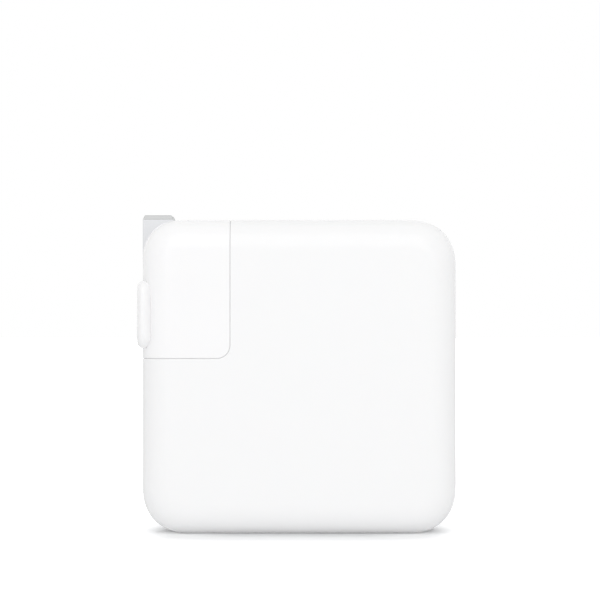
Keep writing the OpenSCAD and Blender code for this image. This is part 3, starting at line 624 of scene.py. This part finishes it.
def one_turn(tree, given):
    """One closed turn of wire, standing upright."""
    new, link = tree.nodes.new, tree.links.new
    outline, soft = new("GeometryNodeCurvePrimitiveQuadrilateral"), new("GeometryNodeFilletCurve")
    link(given.outputs["Turn Width"], outline.inputs["Width"])
    link(given.outputs["Turn Height"], outline.inputs["Height"])
    link(outline.outputs[0], soft.inputs["Curve"])
    soft.mode = "POLY"
    soft.inputs["Radius"].default_value = 0.4 * MM
    soft.inputs["Count"].default_value = 3
    wire, tube = new("GeometryNodeCurvePrimitiveCircle"), new("GeometryNodeCurveToMesh")
    wire.inputs["Resolution"].default_value = 10
    link(given.outputs["Wire Radius"], wire.inputs["Radius"])
    link(soft.outputs[0], tube.inputs["Curve"])
    link(wire.outputs[0], tube.inputs["Profile Curve"])
    stand = new("GeometryNodeTransform")
    stand.inputs["Rotation"].default_value = (math.pi / 2, 0, 0)
    link(tube.outputs[0], stand.inputs["Geometry"])
    return stand.outputs[0]


def turns_tree():
    """Wire turns side by side round part of a ring in the XY plane."""
    tree, given, end = node_tree(
        "Turns Round A Ring",
        [
            ("Turns", "NodeSocketInt", 9), ("Sweep", "NodeSocketFloat", 2.2),
            ("Start", "NodeSocketFloat", 0.0), ("Ring Radius", "NodeSocketFloat", 0.004),
            ("Turn Width", "NodeSocketFloat", 0.003), ("Turn Height", "NodeSocketFloat", 0.006),
            ("Wire Radius", "NodeSocketFloat", 0.0003), ("Material", "NodeSocketMaterial", None),
        ],
    )
    points, facing = turn_places(tree, given)
    copies = tree.nodes.new("GeometryNodeInstanceOnPoints")
    tree.links.new(points, copies.inputs["Points"])
    tree.links.new(one_turn(tree, given), copies.inputs["Instance"])
    tree.links.new(facing, copies.inputs["Rotation"])
    finish_tree(tree, copies.outputs[0], given, end)
    return tree


def row_tree():
    """A row of small flat fingers along Z."""
    tree, given, end = node_tree(
        "Row Of Fingers",
        [
            ("Count", "NodeSocketInt", 12), ("Pitch", "NodeSocketFloat", 0.0005),
            ("First", "NodeSocketVector", (0.0, 0.0, 0.0)),
            ("Finger", "NodeSocketVector", (0.003, 0.0001, 0.0003)),
            ("Material", "NodeSocketMaterial", None),
        ],
    )
    new, link = tree.nodes.new, tree.links.new
    line, step = new("GeometryNodeMeshLine"), new("ShaderNodeCombineXYZ")
    link(given.outputs["Count"], line.inputs["Count"])
    link(given.outputs["First"], line.inputs["Start Location"])
    link(given.outputs["Pitch"], step.inputs["Z"])
    link(step.outputs[0], line.inputs["Offset"])
    finger, copies = new("GeometryNodeMeshCube"), new("GeometryNodeInstanceOnPoints")
    link(given.outputs["Finger"], finger.inputs["Size"])
    link(line.outputs[0], copies.inputs["Points"])
    link(finger.outputs["Mesh"], copies.inputs["Instance"])
    finish_tree(tree, copies.outputs[0], given, end)
    return tree


def from_nodes(name, tree, values, seat=None):
    """A plain mesh object made by a node tree with these input values."""
    obj = bpy.data.objects.new(name, bpy.data.meshes.new(name))
    bpy.context.scene.collection.objects.link(obj)
    step = obj.modifiers.new("nodes", "NODES")
    step.node_group = tree
    for item in tree.interface.items_tree:
        if item.item_type == "SOCKET" and item.in_out == "INPUT" and item.name in values:
            step[item.identifier] = values[item.name]
    obj.update_tag()
    bpy.context.view_layer.update()
    applied(obj)
    if seat is not None:
        obj.data.transform(seat)
    return obj


def joined(name, parts):
    """One mesh object from several, with every loose part kept."""
    bm = bmesh.new()
    for part in parts:
        bm.from_mesh(part.data)
    bmesh.ops.remove_doubles(bm, verts=bm.verts, dist=1e-8)
    bmesh.ops.recalc_face_normals(bm, faces=bm.faces)
    material = parts[0].data.materials[0] if parts[0].data.materials else None
    for part in parts:
        bpy.data.objects.remove(part)
    obj = closed(name, bm)
    if material:
        obj.data.materials.append(material)
    return smooth(obj, 40)


# ---- finishes ----


def shader_group(name, inputs, outputs):
    """A new shader tree with these named inputs and outputs, and its two end nodes."""
    tree = bpy.data.node_groups.new(name, "ShaderNodeTree")
    for label, kind, default in inputs:
        socket = tree.interface.new_socket(label, in_out="INPUT", socket_type=kind)
        socket.default_value = default
    for label, kind in outputs:
        tree.interface.new_socket(label, in_out="OUTPUT", socket_type=kind)
    return tree, tree.nodes.new("NodeGroupInput"), tree.nodes.new("NodeGroupOutput")


def drift_group():
    """Slow drift of a colour and a roughness over a moulded or coated surface."""
    tree, given, end = shader_group(
        "Surface Drift",
        [
            ("Colour", "NodeSocketColor", (0.8, 0.8, 0.8, 1)), ("Colour Drift", "NodeSocketFloat", 0.02),
            ("Roughness", "NodeSocketFloat", 0.3), ("Roughness Drift", "NodeSocketFloat", 0.04),
            ("Scale", "NodeSocketFloat", 90.0),
        ],
        [("Colour", "NodeSocketColor"), ("Roughness", "NodeSocketFloat")],
    )
    new, link = tree.nodes.new, tree.links.new
    where, cloud = new("ShaderNodeTexCoord"), new("ShaderNodeTexNoise")
    link(where.outputs["Object"], cloud.inputs["Vector"])
    link(given.outputs["Scale"], cloud.inputs["Scale"])
    cloud.inputs["Detail"].default_value = 4
    swing = maths(tree, "SUBTRACT", cloud.outputs["Fac"], 0.5)
    tone = new("ShaderNodeHueSaturation")
    link(given.outputs["Colour"], tone.inputs["Color"])
    lighter = maths(tree, "MULTIPLY", swing, given.outputs["Colour Drift"])
    link(maths(tree, "ADD", 1, lighter), tone.inputs["Value"])
    duller = maths(tree, "MULTIPLY", swing, given.outputs["Roughness Drift"])
    link(tone.outputs[0], end.inputs["Colour"])
    link(maths(tree, "ADD", given.outputs["Roughness"], duller), end.inputs["Roughness"])
    return tree


def relief_group():
    """Fine relief: a grain that may be drawn out along one axis."""
    tree, given, end = shader_group(
        "Fine Relief",
        [
            ("Scale", "NodeSocketVector", (900.0, 900.0, 900.0)), ("Strength", "NodeSocketFloat", 0.1),
            ("Depth", "NodeSocketFloat", 0.00001),
        ],
        [("Normal", "NodeSocketVector")],
    )
    new, link = tree.nodes.new, tree.links.new
    where, stretch, grain = new("ShaderNodeTexCoord"), new("ShaderNodeMapping"), new("ShaderNodeTexNoise")
    bump = new("ShaderNodeBump")
    link(where.outputs["Object"], stretch.inputs["Vector"])
    link(given.outputs["Scale"], stretch.inputs["Scale"])
    link(stretch.outputs[0], grain.inputs["Vector"])
    grain.inputs["Scale"].default_value = 1
    grain.inputs["Detail"].default_value = 2
    link(grain.outputs["Fac"], bump.inputs["Height"])
    link(given.outputs["Strength"], bump.inputs["Strength"])
    link(given.outputs["Depth"], bump.inputs["Distance"])
    link(bump.outputs[0], end.inputs["Normal"])
    return tree


def fresh_material(name):
    """A new material of exactly this name, in the place of the frame's plain namesake."""
    plain = bpy.data.materials.get(name)
    if plain:
        bpy.data.materials.remove(plain)
    material = bpy.data.materials.new(name)
    if material.name != name:
        raise RuntimeError(f"another material already holds the name {name}")
    material.use_nodes = True
    return material


def placed(tree, group, values):
    """A shared group set into a material, with its own values."""
    node = tree.nodes.new("ShaderNodeGroup")
    node.node_tree = bpy.data.node_groups[group]
    for label, value in values.items():
        node.inputs[label].default_value = value
    return node


def finish_material(name, colour, rough, metal=0.0, drift=0.02, scale=90.0,
                    grain=(900, 900, 900), strength=0.06, coat=0.0, soft=0.0):
    """One finish: its own Principled shader, with the shared drift and relief groups."""
    tree = fresh_material(name).node_tree
    shader = tree.nodes["Principled BSDF"]
    shader.inputs["Metallic"].default_value = metal
    shader.inputs["Coat Weight"].default_value = coat
    shader.inputs["Coat Roughness"].default_value = 0.12
    if soft:
        shader.inputs["Subsurface Weight"].default_value = soft
        shader.inputs["Subsurface Radius"].default_value = (1.0, 0.95, 0.9)
        shader.inputs["Subsurface Scale"].default_value = 0.8 * MM
    surface = placed(tree, "Surface Drift", {
        "Colour": (*colour, 1), "Colour Drift": drift,
        "Roughness": rough, "Roughness Drift": 0.04, "Scale": scale,
    })
    relief = placed(tree, "Fine Relief", {"Scale": grain, "Strength": strength})
    tree.links.new(surface.outputs["Colour"], shader.inputs["Base Color"])
    tree.links.new(surface.outputs["Roughness"], shader.inputs["Roughness"])
    tree.links.new(relief.outputs["Normal"], shader.inputs["Normal"])


def paint(obj, slot_name, body):
    """Rides a piece on its body and gives it its finish."""
    obj.data.materials.clear()
    obj.data.materials.append(bpy.data.materials[slot_name])
    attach(obj, body)
    return obj


def outer_finishes(f):
    """The mouldings, the blades and the plated parts of the mounts."""
    make = finish_material
    make("case_white", f.case, 0.20, drift=0.006, strength=0.05, soft=0.08)
    make("head_white", f.head, 0.16, drift=0.006, strength=0.04, soft=0.08)
    make("blade_metal", f.blades, 0.12, metal=1.0, grain=(300, 300, 5000), strength=0.04)
    # Painted shade: the blades' up-facing ends get this darker, rougher metal.
    make("blade_tips_painted_shade", f.tips, 0.45, metal=1.0, strength=0.1)
    make("plated_steel", (0.66, 0.67, 0.69), 0.3, metal=1.0, grain=(4000, 400, 400), strength=0.08)
    make("spring_brass", (0.80, 0.66, 0.36), 0.28, metal=1.0, grain=(400, 400, 4000), strength=0.08)


def inner_finishes():
    """The circuit, its sheets and its windings."""
    make = finish_material
    make("copper", (0.76, 0.44, 0.26), 0.3, metal=1.0, strength=0.05)
    make("spreader_metal", (0.76, 0.77, 0.79), 0.38, metal=1.0, grain=(200, 200, 6000), strength=0.1)
    make("sheet_amber", (0.80, 0.66, 0.28), 0.45, drift=0.04)
    make(
        "board_green", (0.07, 0.30, 0.17), 0.4,
        drift=0.12, scale=300, grain=(3000, 3000, 3000), strength=0.15, coat=0.3,
    )
    make("inner_white", (0.90, 0.90, 0.88), 0.5)
    make("moulded_black", (0.05, 0.05, 0.055), 0.5, drift=0.1, strength=0.15)
    make(
        "ferrite", (0.13, 0.13, 0.14), 0.65,
        drift=0.2, scale=500, grain=(3500, 3500, 3500), strength=0.3,
    )
    make("tape_yellow", (0.80, 0.66, 0.16), 0.3, drift=0.05, coat=0.3)
    make("film_yellow", (0.84, 0.70, 0.14), 0.35, drift=0.04)
    make("sleeve_navy", (0.03, 0.05, 0.16), 0.32, drift=0.08, coat=0.2)
    make(
        "coat_blue", (0.10, 0.30, 0.60), 0.35,
        drift=0.12, scale=400, grain=(1500, 1500, 1500), strength=0.25, coat=0.3,
    )
    make("can_aluminium", (0.80, 0.81, 0.82), 0.3, metal=1.0, grain=(300, 5000, 300), strength=0.1)
    make("pad_grey", (0.55, 0.58, 0.62), 0.8, drift=0.08, grain=(2500, 2500, 2500), strength=0.3)


# ---- studio ----


def eye_rays(tree):
    """The light path's node, and 1 for what the eye sees straight or through glass."""
    rays = tree.nodes.new("ShaderNodeLightPath")
    seen = maths(tree, "MAXIMUM", rays.outputs["Is Camera Ray"], rays.outputs["Is Transmission Ray"])
    return rays, seen


def floor_colour(tree, seen, from_foot):
    """Pale paper, with a painted shadow: the eye sees it greyer where the case stands."""
    shadow_tint = tree.nodes.new("ShaderNodeMix")
    shadow_tint.data_type = "RGBA"
    shadow_tint.inputs["A"].default_value = (0.945, 0.95, 0.957, 1)
    shadow_tint.inputs["B"].default_value = (0.74, 0.745, 0.755, 1)
    # painted shadow: within 14 mm of the case's footprint the eye sees the darker colour
    painted_shadow = ranged(tree, from_foot, (0, 14 * MM), (1, 0))
    tree.links.new(maths(tree, "MULTIPLY", seen, painted_shadow), shadow_tint.inputs["Factor"])
    return shadow_tint.outputs["Result"]


def floor_glow(tree, seen, glossy, from_foot, tall):
    """Painted light that the paper adds for the eye: it stays white away from the case while the shadow in
    front shows, the shadow beside the case is thinned and the line where the case stands is lightened.

    Polished faces see only the glowing strip that the case stands on, a painted reflection on the lower
    rim."""
    from_sides = away_from(tree, (0, 0, 0), (26 * MM, tall, tall))
    from_strip = away_from(tree, (0, -7 * MM, 0), (26 * MM, 1 * MM, tall))
    # painted light: these glows lift the shadow near the case, beside it and under its front edge
    around = ranged(tree, from_foot, (14 * MM, 24 * MM), (0, 0.13))
    distant = ranged(tree, from_foot, (0.1, 0.6), (0, 0.6))
    beside = ranged(tree, from_sides, (0, 8 * MM), (0, 0.2))
    under = ranged(tree, from_strip, (0, 4 * MM), (0.25, 0))
    glow = maths(tree, "ADD", maths(tree, "ADD", around, distant), maths(tree, "ADD", beside, under))
    # painted reflection: glossy rays see the strip under the front edge glowing, which lightens the lower
    # rim
    glow_in_reflections = maths(tree, "MULTIPLY", glossy, ranged(tree, from_strip, (0, 6 * MM), (0.6, 0)))
    return maths(tree, "ADD", maths(tree, "MULTIPLY", seen, glow), glow_in_reflections)


def floor_paper():
    """The floor's finish: matt paper with a painted shadow in its colour, and a glow near the case."""
    paper = bpy.data.materials.new("floor_paper")
    paper.use_nodes = True
    tree = paper.node_tree
    shader = tree.nodes["Principled BSDF"]
    shader.inputs["Roughness"].default_value = 0.9
    shader.inputs["Specular IOR Level"].default_value = 0.1
    shader.inputs["Emission Color"].default_value = (1, 1, 1, 1)
    tall = 1.0
    rays, seen = eye_rays(tree)
    from_foot = away_from(tree, (0, 0, 0), (12 * MM, 14 * MM, tall))
    glow = floor_glow(tree, seen, rays.outputs["Is Glossy Ray"], from_foot, tall)
    tree.links.new(floor_colour(tree, seen, from_foot), shader.inputs["Base Color"])
    tree.links.new(glow, shader.inputs["Emission Strength"])
    return paper


def white_world(scene):
    """A white sky that lights the pieces a little less than the eye sees it shine."""
    lighting = 0.783
    world = scene.world or bpy.data.worlds.new("World")
    scene.world = world
    world.use_nodes = True
    tree = world.node_tree
    sky = tree.nodes["Background"]
    sky.inputs["Color"].default_value = (1, 1, 1, 1)
    rays, seen = eye_rays(tree)
    seen = maths(tree, "MAXIMUM", seen, rays.outputs["Is Glossy Ray"])
    strength = maths(tree, "ADD", lighting, maths(tree, "MULTIPLY", seen, 1 - lighting))
    tree.links.new(strength, sky.inputs["Strength"])


def hang_lamps(scene):
    """Three soft lamps: name, place, aim, sides, power, and whether polished faces mirror it."""
    lamps = (
        ("lamp_front", (0.0, -1.6, 0.1), (0, 0, 0.035), (1.4, 1.4), 5.5, False),
        ("lamp_high", (0.0, -1.0, 0.63), (0, 0, 0.04), (0.9, 1.1), 2.0, True),
        ("lamp_top", (0.0, 0.0, 1.1), (0, 0, 0.04), (0.6, 0.6), 0.72, False),
    )
    for name, place, aim, sides, power, is_mirrored in lamps:
        data = bpy.data.lights.new(name, "AREA")
        data.shape, data.energy = "RECTANGLE", power
        data.size, data.size_y = sides
        lamp = bpy.data.objects.new(name, data)
        scene.collection.objects.link(lamp)
        lamp.location = place
        lamp.rotation_euler = (Vector(aim) - Vector(place)).to_track_quat("-Z", "Y").to_euler()
        lamp.visible_glossy = is_mirrored


def place_camera(scene):
    """A long lens, level and straight in front of the case."""
    data = bpy.data.cameras.new("camera")
    data.sensor_width, data.lens = 36, 225.3
    data.clip_start, data.clip_end = 0.05, 20
    camera = bpy.data.objects.new("camera", data)
    scene.collection.objects.link(camera)
    camera.location = (0.00016, -0.8, 0.04914)
    camera.rotation_euler = (math.pi / 2, 0, 0)
    scene.camera = camera


# ---- operators ----


class ADAPTER_OT_finishes(bpy.types.Operator):
    """Make the finishes and give each CAD node its own"""

    bl_idname = "adapter.finishes"
    bl_label = "Make Finishes"

    def execute(self, context):
        f = context.scene.adapter_finishes
        drift_group()
        relief_group()
        outer_finishes(f)
        inner_finishes()
        slots = {part["node"]: part["material_slot"] for part in frame["record"]["subparts"]}
        for node, obj in frame["nodes"].items():
            obj.data.materials.clear()
            obj.data.materials.append(bpy.data.materials[slots[node]])
        return {"FINISHED"}


class ADAPTER_OT_case(bpy.types.Operator):
    """Build the front and back shells of the case, parted at the middle plane"""

    bl_idname = "adapter.case"
    bl_label = "Build Case Shells"

    def execute(self, context):
        c, q = context.scene.adapter_case, context.scene.adapter_port
        front = case_half("case_front", c)
        back = mirrored("case_back", front)
        for half, node in ((front, "front_shell"), (back, "rear_shell")):
            combine(half, port_tool(c, q))
            combine(half, cup_tool(c))
            combine(half, stud_tool(c))
            smooth(half)
            paint(half, "case_white", "case")
            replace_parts(half, node)
        return {"FINISHED"}


class ADAPTER_OT_head(bpy.types.Operator):
    """Build the plug head's housing with its wall pad, blade slots and window"""

    bl_idname = "adapter.head"
    bl_label = "Build Plug Head"

    def execute(self, context):
        housing = plug_housing(context.scene.adapter_case, context.scene.adapter_head)
        paint(housing, "head_white", "plug_head")
        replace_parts(housing, "plug_shell")
        return {"FINISHED"}


class ADAPTER_OT_prongs(bpy.types.Operator):
    """Build the two folding blades and the carrier they turn with"""

    bl_idname = "adapter.prongs"
    bl_label = "Build Prongs"

    def execute(self, context):
        darkened, facing_out = 1 * MM, 0.25
        for node, name in (("front_prong", "blade_front"), ("rear_prong", "blade_rear")):
            eased_node = softened(node, name, width=0.12 * MM, segments=5, crease=20)
            blade = paint(eased_node, "blade_metal", "prongs")
            blade.data.materials.append(bpy.data.materials["blade_tips_painted_shade"])
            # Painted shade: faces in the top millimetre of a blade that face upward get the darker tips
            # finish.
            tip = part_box(node)[1].z - darkened
            for face in blade.data.polygons:
                if face.center.z > tip and face.normal.z > facing_out:
                    face.material_index = 1
            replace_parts(blade, node)
        carrier = softened("prong_carrier", "carrier", width=0.1 * MM)
        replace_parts(paint(carrier, "head_white", "prongs"), "prong_carrier")
        return {"FINISHED"}


class ADAPTER_OT_port(bpy.types.Operator):
    """Build the outlet port's contacts and the guide stud's eased form"""

    bl_idname = "adapter.port"
    bl_label = "Build Port And Stud"

    def execute(self, context):
        low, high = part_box("port_contacts")
        thick, wide = 0.08 * MM, 0.26 * MM
        values = {
            "Count": 12, "Pitch": 0.5 * MM, "Finger": (high.x - low.x, thick, wide),
            "Material": bpy.data.materials["spring_brass"],
        }
        tree = row_tree()
        rows = []
        for y in (low.y + thick / 2, high.y - thick / 2):
            first = ((low.x + high.x) / 2, y, low.z + wide / 2)
            rows.append(from_nodes("contact_row", tree, {**values, "First": first}))
        contacts = joined("contact_fingers", rows)
        paint(contacts, "spring_brass", "case")
        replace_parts(contacts, "port_contacts")
        for node, name in (("guide_stud", "stud"), ("port_shell", "port_ring")):
            eased_node = softened(node, name, width=0.08 * MM, segments=2)
            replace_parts(paint(eased_node, "plated_steel", "case"), node)
        return {"FINISHED"}


class ADAPTER_OT_choke(bpy.types.Operator):
    """Wind the input choke's two coils, turn by turn"""

    bl_idname = "adapter.choke"
    bl_label = "Wind Choke"

    def execute(self, context):
        low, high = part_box("choke_core")
        centre = (low + high) / 2
        outer = (high.x - low.x) / 2
        band, band_middle = outer * 0.44, outer * 0.78
        wire, slack = 0.3 * MM, 0.1 * MM
        values = {
            "Turns": context.scene.adapter_port.turns, "Sweep": math.radians(132),
            "Ring Radius": band_middle, "Turn Width": band + 2 * wire + slack,
            "Turn Height": high.y - low.y + 2 * wire + slack, "Wire Radius": wire,
            "Material": bpy.data.materials["copper"],
        }
        tree = turns_tree()
        seat = Matrix.Translation(centre) @ Matrix.Rotation(math.pi / 2, 4, "X")
        coils = []
        for start in (24, 204):
            coils.append(from_nodes("coil", tree, {**values, "Start": math.radians(start)}, seat))
        winding = joined("choke_turns", coils)
        paint(winding, "copper", "case")
        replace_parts(winding, "choke_windings")
        return {"FINISHED"}


class ADAPTER_OT_stage(bpy.types.Operator):
    """Lay the pale floor, hang the soft lamps and place the camera"""

    bl_idname = "adapter.stage"
    bl_label = "Build Studio"

    def execute(self, context):
        scene = context.scene
        scene.view_settings.view_transform = "Standard"
        half, thick = 4.0, 0.01
        floor = block("floor", (-half, half), (-half, half), (-thick, 0))
        floor.data.materials.append(floor_paper())
        white_world(scene)
        hang_lamps(scene)
        place_camera(scene)
        return {"FINISHED"}


class ADAPTER_PT_panel(bpy.types.Panel):
    """The adapter's pieces, sizes and finishes"""

    bl_idname = "ADAPTER_PT_panel"
    bl_label = "Laptop Power Adapter"
    bl_space_type = "VIEW_3D"
    bl_region_type = "UI"
    bl_category = "Adapter"

    def draw(self, context):
        for operator in OPERATORS:
            self.layout.operator(operator.bl_idname)
        for name, group in SETTINGS.items():
            box = self.layout.box()
            for field in group.__annotations__:
                box.prop(getattr(context.scene, name), field)


SETTINGS = {
    "adapter_case": CaseSizes,
    "adapter_head": HeadSizes,
    "adapter_port": PortSizes,
    "adapter_finishes": Finishes,
}
OPERATORS = (
    ADAPTER_OT_finishes, ADAPTER_OT_case, ADAPTER_OT_head, ADAPTER_OT_prongs,
    ADAPTER_OT_port, ADAPTER_OT_choke, ADAPTER_OT_stage,
)


def register():
    """Registers the settings first, then what uses them."""
    for group in SETTINGS.values():
        bpy.utils.register_class(group)
    for kind in (*OPERATORS, ADAPTER_PT_panel):
        bpy.utils.register_class(kind)
    for name, group in SETTINGS.items():
        setattr(bpy.types.Scene, name, bpy.props.PointerProperty(type=group))


def unregister():
    """Takes everything out again, last first."""
    for name in SETTINGS:
        delattr(bpy.types.Scene, name)
    for kind in (ADAPTER_PT_panel, *reversed(OPERATORS), *SETTINGS.values()):
        bpy.utils.unregister_class(kind)


def main():
    """Builds every piece in order."""
    register()
    bpy.ops.adapter.finishes()
    bpy.ops.adapter.case()
    bpy.ops.adapter.head()
    bpy.ops.adapter.prongs()
    bpy.ops.adapter.port()
    bpy.ops.adapter.choke()
    bpy.ops.adapter.stage()


if __name__ == "__main__":
    main()
